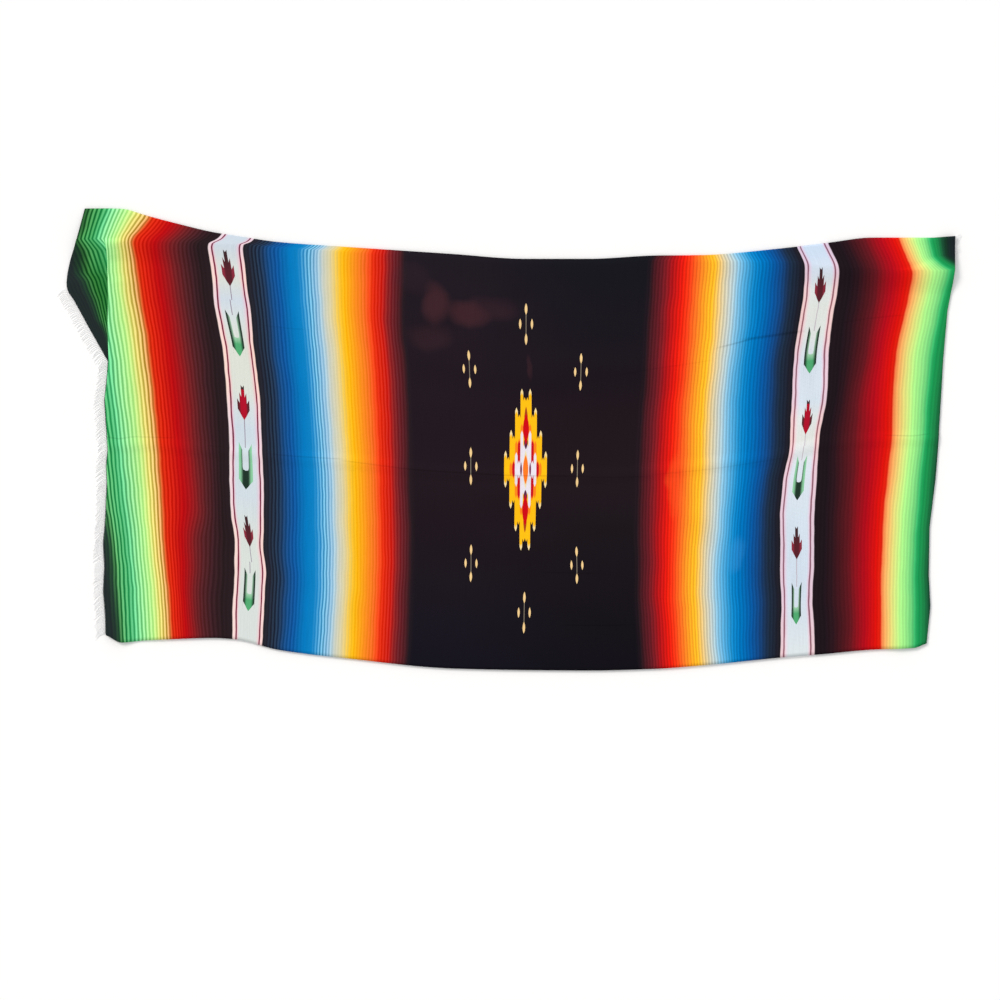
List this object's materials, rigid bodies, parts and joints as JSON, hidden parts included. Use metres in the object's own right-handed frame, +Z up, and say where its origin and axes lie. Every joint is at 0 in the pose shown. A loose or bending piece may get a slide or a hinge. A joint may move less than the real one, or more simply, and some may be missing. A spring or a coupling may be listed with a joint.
{
  "type": "mexican serape",
  "caption": "Striped woven blanket garment laid flat, with a tucked left end, a turned-under right end and short warp fringe.",
  "frame": {"origin": "on the floor, under the middle of the whole garment's bounding box", "axes": "+X along the web and across its stripes, towards the turned-under end; +Y along the stripes, towards the creased top edge; +Z up, out of the side that shows"},
  "size_m": [2.1848, 1.107, 0.0202],
  "materials": {
    "woven_acrylic": "weft-faced woven acrylic, striped",
    "cotton_warp": "undyed cotton yarn"
  },
  "bodies": {
    "root": {"serape_web": "woven_acrylic", "fringe_left": "cotton_warp", "fringe_right": "cotton_warp"}
  },
  "joints": []
}
